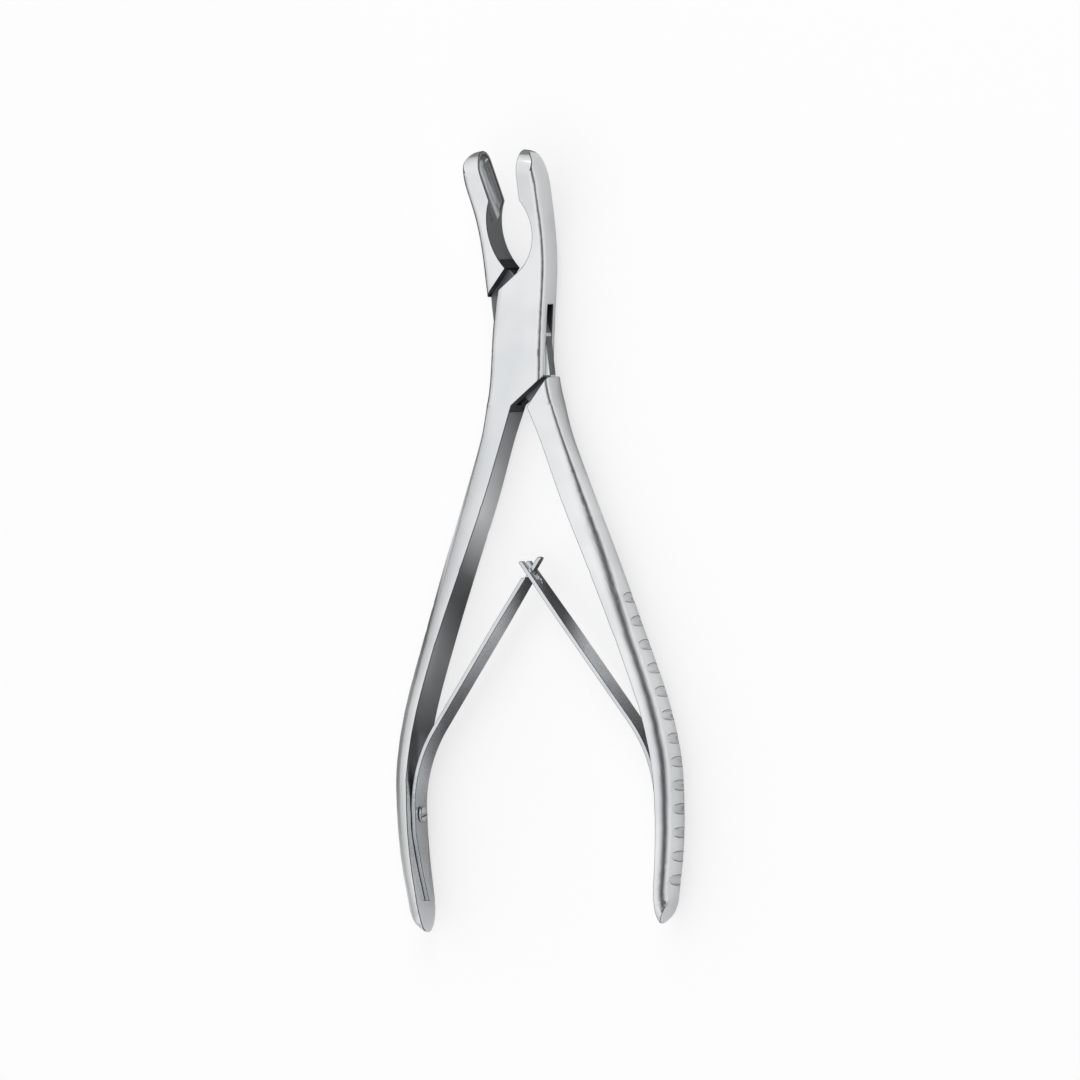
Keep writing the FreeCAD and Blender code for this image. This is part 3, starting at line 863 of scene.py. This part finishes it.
@dataclass
class Studio:
    """Pale floor, soft light and the camera of the photograph.

    Attributes:
        pixel: Size of one pixel of the photograph at the instrument.
        frame_px: Side of the photograph in pixels.
        pivot_px: Where the pivot lies in the photograph.
        turn: Angle of the camera to the right of the box's face, in degrees.
        lean: Angle that the instrument leans to the left, in degrees.
        camera_distance: Distance of the camera from the instrument.
        floor_size: Side of the floor.
        floor_gap: Gap between the floor and the lowest point of the instrument.
        paper: Colour of the floor.
        glow: Light that the floor gives off where the camera sees it.
        glow_share: Share of that light in what the camera sees of the floor.
        stops: Angle in degrees, from the left round to the right, and grey of the room.
        mirror_stops: Place along the instrument in millimetres and grey of a painted reflection: the floor
        shows this grey only to reflections, as the inner sides of box and handles reflect it.
        leaf_stops: The same beside the left spring.
        leaf_slope: Slope of the line that parts those two.
        leaf_line: Where that line fades from one to the other.
        leaf_top: Where the part beside the left spring ends towards the jaws.
        mirror_right: Grey of a painted reflection that the floor shows only to the outer side on the right.
        right_slope: Slope of the line where that grey begins.
        right_end: Where this line turns straight, towards the ends of the handles.
        right_line: Where it fades from one to the other.
        lamp_place: Where the lamp hangs.
        lamp_aim: Point that the lamp shines on.
        lamp_size: Diameter of the lamp.
        lamp_energy: Power of the lamp in watts.
    """

    pixel: float = 0.2229 * MM
    frame_px: float = 1080.0
    pivot_px: tuple[float, float] = (523.5, 337.0)
    turn: float = 24.0
    lean: float = 2.1
    camera_distance: float = 0.8
    floor_size: float = 4.0
    floor_gap: float = 0.02 * MM
    paper: str = "#F7F7F7"
    glow: float = 1.12
    glow_share: float = 0.6
    stops: list[tuple[float, float]] = field(default_factory=lambda: [
        (-180, 0.60), (-95, 0.60), (-70, 0.72), (-24, 0.98), (5, 1.02), (26, 0.82),
        (46, 0.10), (62, 0.05), (84, 1.05), (100, 1.10), (180, 0.60),
    ])
    mirror_stops: list[tuple[float, float]] = field(default_factory=lambda: [
        (-140, 0.60), (-118, 0.62), (-108, 0.50), (-98, 0.32), (-88, 0.30), (-80, 0.36), (-72, 0.40),
        (-66, 0.24), (-60, 0.15), (-55, 0.20), (-48, 0.62), (-42, 0.95), (-36, 0.80), (-28, 0.50),
        (-20, 0.36), (-14, 0.14), (14, 0.12), (20, 0.22), (36, 0.22), (60, 0.30),
    ])
    leaf_stops: list[tuple[float, float]] = field(default_factory=lambda: [
        (-130, 0.90), (-115, 0.75), (-106, 0.65), (-99, 0.95), (-94, 0.50), (-88, 0.24), (-82, 0.35),
        (-74, 0.70), (-68, 0.90), (-60, 0.14), (-54, 0.10), (-48, 0.40),
    ])
    leaf_slope: float = -0.70
    leaf_line: tuple[float, float] = (31.5 * MM, 34.0 * MM)
    leaf_top: float = -46 * MM
    mirror_right: float = 0.95
    right_slope: float = 0.28
    right_end: float = -95 * MM
    right_line: tuple[float, float] = (4 * MM, 7 * MM)
    lamp_place: tuple[float, float, float] = (0.15, 0.75, 0.8)
    lamp_aim: tuple[float, float, float] = (0, -0.045, 0)
    lamp_size: float = 0.9
    lamp_energy: float = 1.5

    def build(self) -> None:
        """Makes the floor, the light and the camera."""
        self._floor()
        self._world()
        self._lamp()
        self._camera()

    def _floor(self) -> None:
        """Lays a pale floor under the lowest point of the instrument, with painted reflections in grey that
        only reflections see.
        """
        bpy.ops.object.select_all(action="DESELECT")
        height = CAD_BOX[0].z - self.floor_gap
        bpy.ops.mesh.primitive_plane_add(size=self.floor_size, location=(0, 0, height))
        floor = bpy.context.active_object
        floor.name = "floor"
        paint = bpy.data.materials.new("white_paper")
        paint.use_nodes = True
        tree = paint.node_tree
        tree.nodes.clear()
        ray = add_node(tree, "ShaderNodeLightPath")
        place = add_node(tree, "ShaderNodeTexCoord")
        spot = add_node(tree, "ShaderNodeSeparateXYZ", {0: place.outputs["Object"]})
        reflection_bands = self._painted_reflections(tree, spot.outputs["Y"], self.mirror_stops)
        leaf_reflection_bands = self._painted_reflections(tree, spot.outputs["Y"], self.leaf_stops)
        beside = add_node(
            tree, "ShaderNodeMath",
            {0: spot.outputs["Y"], 1: self.leaf_slope, 2: spot.outputs["X"]},
            operation="MULTIPLY_ADD",
        )
        under_leaf = add_node(
            tree, "ShaderNodeMapRange",
            {"Value": beside.outputs[0],
             "From Min": self.leaf_line[0], "From Max": self.leaf_line[1]},
        )
        below = add_node(
            tree, "ShaderNodeMath", {0: spot.outputs["Y"], 1: self.leaf_top}, operation="LESS_THAN",
        )
        by_leaf = add_node(
            tree, "ShaderNodeMath", {0: under_leaf.outputs["Result"], 1: below.outputs[0]},
            operation="MULTIPLY",
        )
        inside = add_node(
            tree, "ShaderNodeMix",
            {0: by_leaf.outputs[0], 6: reflection_bands.outputs["Color"], 7: leaf_reflection_bands.outputs["Color"]},
            data_type="RGBA",
        )
        above = add_node(
            tree, "ShaderNodeMath", {0: spot.outputs["Y"], 1: 0.0}, operation="MINIMUM",
        )
        between = add_node(
            tree, "ShaderNodeMath", {0: above.outputs[0], 1: self.right_end}, operation="MAXIMUM",
        )
        slanted = add_node(
            tree, "ShaderNodeMath",
            {0: between.outputs[0], 1: self.right_slope, 2: spot.outputs["X"]},
            operation="MULTIPLY_ADD",
        )
        outside = add_node(
            tree, "ShaderNodeMapRange",
            {"Value": slanted.outputs[0],
             "From Min": self.right_line[0], "From Max": self.right_line[1]},
        )
        light = (self.mirror_right,) * 3 + (1.0,)
        mirrored = add_node(
            tree, "ShaderNodeMix", {0: outside.outputs["Result"], 6: inside.outputs[2], 7: light},
            data_type="RGBA",
        )
        # Painted reflections: white for the camera and diffuse light, grey bands only for glossy rays.
        shade = add_node(
            tree, "ShaderNodeMix",
            {0: ray.outputs["Is Glossy Ray"], 6: linear(self.paper), 7: mirrored.outputs[2]},
            data_type="RGBA",
        )
        matt = add_node(tree, "ShaderNodeBsdfDiffuse", {"Color": shade.outputs[2]})
        glow = add_node(tree, "ShaderNodeEmission", {"Color": linear("#FFFFFF"), "Strength": self.glow})
        seen = add_node(
            tree, "ShaderNodeMath",
            {0: ray.outputs["Is Camera Ray"], 1: self.glow_share}, operation="MULTIPLY",
        )
        mix = add_node(
            tree, "ShaderNodeMixShader",
            {0: seen.outputs[0], 1: matt.outputs[0], 2: glow.outputs[0]},
        )
        add_node(tree, "ShaderNodeOutputMaterial", {"Surface": mix.outputs[0]})
        floor.data.materials.append(paint)

    def _painted_reflections(
        self, tree: bpy.types.NodeTree, place: bpy.types.NodeSocket, stops: list,
    ) -> bpy.types.Node:
        """Row of painted reflections: grey bands along the floor, which only reflections see.

        Args:
            tree: Node tree of the floor.
            place: Socket with the position along the row.
            stops: Position in millimetres and grey of each band.

        Returns:
            Colour ramp node.
        """
        low, high = stops[0][0], stops[-1][0]
        along = add_node(
            tree, "ShaderNodeMapRange",
            {"Value": place, "From Min": low * MM, "From Max": high * MM},
        )
        reflection_bands = add_node(tree, "ShaderNodeValToRGB", {"Fac": along.outputs["Result"]})
        ramp(reflection_bands, [((at - low) / (high - low), (v, v, v, 1.0)) for at, v in stops])
        return reflection_bands

    def _world(self) -> None:
        """Surrounds the instrument with a white room that has one dark screen on the right."""
        world = bpy.data.worlds.new("studio")
        bpy.context.scene.world = world
        world.use_nodes = True
        tree = world.node_tree
        tree.nodes.clear()
        place = add_node(tree, "ShaderNodeTexCoord")
        parts = add_node(tree, "ShaderNodeSeparateXYZ", {0: place.outputs["Generated"]})
        angle = add_node(
            tree, "ShaderNodeMath", {0: parts.outputs["X"], 1: parts.outputs["Z"]}, operation="ARCTAN2",
        )
        share = add_node(
            tree, "ShaderNodeMapRange",
            {"Value": angle.outputs[0], "From Min": -math.pi, "From Max": math.pi,
             "To Min": 0.0, "To Max": 1.0},
        )
        colour = add_node(tree, "ShaderNodeValToRGB", {"Fac": share.outputs["Result"]})
        top = max(level for _, level in self.stops)
        ramp(colour, [((a + 180.0) / 360.0, (v / top, v / top, v / top, 1.0)) for a, v in self.stops])
        around = add_node(tree, "ShaderNodeBackground", {"Color": colour.outputs["Color"], "Strength": top})
        white = add_node(tree, "ShaderNodeBackground", {"Color": linear("#FFFFFF"), "Strength": 1.0})
        ray = add_node(tree, "ShaderNodeLightPath")
        mix = add_node(
            tree, "ShaderNodeMixShader",
            {0: ray.outputs["Is Camera Ray"], 1: around.outputs[0], 2: white.outputs[0]},
        )
        add_node(tree, "ShaderNodeOutputWorld", {"Surface": mix.outputs[0]})

    def _lamp(self) -> None:
        """Hangs one large soft lamp above, beyond the jaws and a little to the right."""
        bpy.ops.object.light_add(type="AREA", location=self.lamp_place)
        lamp = bpy.context.active_object
        lamp.data.shape = "DISK"
        lamp.data.size = self.lamp_size
        lamp.data.energy = self.lamp_energy
        aim = Vector(self.lamp_aim) - lamp.location
        lamp.rotation_euler = aim.to_track_quat("-Z", "Y").to_euler()

    def _camera(self) -> None:
        """Sets the camera where the photograph was taken from."""
        turn, lean = math.radians(self.turn), math.radians(self.lean)
        across = Vector((math.cos(turn), 0.0, -math.sin(turn)))
        along = Vector((0.0, 1.0, 0.0))
        right = across * math.cos(lean) - along * math.sin(lean)
        up = across * math.sin(lean) + along * math.cos(lean)
        back = right.cross(up)
        middle = self.frame_px / 2.0
        shift_right = (middle - self.pivot_px[0]) * self.pixel
        shift_up = (self.pivot_px[1] - middle) * self.pixel
        target = Vector((0.0, 0.0, MIDDLE_HEIGHT * MM)) + right * shift_right + up * shift_up
        data = bpy.data.cameras.new("camera")
        data.type = "ORTHO"
        data.ortho_scale = self.pixel * self.frame_px
        camera = bpy.data.objects.new("camera", data)
        bpy.context.scene.collection.objects.link(camera)
        turned = Matrix((right, up, back)).transposed().to_4x4()
        camera.matrix_world = Matrix.Translation(target + back * self.camera_distance) @ turned
        bpy.context.scene.camera = camera


def main() -> None:
    """Builds every sub-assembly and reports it."""
    logging.basicConfig(level=logging.INFO, format="%(name)s: %(message)s")
    forged, strip, bright = (f.material() for f in (FORGED_SATIN, SPRING_STRIP, TURNED_BRIGHT))
    parts = [
        (PlierHalf("box_half", Body.BOX, -1), forged),
        (PlierHalf("tongue_half", Body.TONGUE, 1), forged),
        (LeafSpring("tongue_spring", Body.BOX, Body.TONGUE_LEAF, -1), strip),
        (LeafSpring("fork_spring", Body.TONGUE, Body.FORK_LEAF, 1), strip),
        (TurnedPiece("pivot_pin", Body.BOX, "pin_steel", 0.0), forged),
        (TurnedPiece("tongue_spring_screw", Body.BOX, "screw_steel"), bright),
        (TurnedPiece("fork_spring_screw", Body.TONGUE, "screw_steel"), bright),
    ]
    for maker, finish in parts:
        piece = maker.build(finish)
        LOG.info("%s: %d faces", piece.name, len(piece.data.polygons))
    Studio().build()
    bpy.context.scene.view_settings.view_transform = "Standard"


if __name__ == "__main__":
    main()
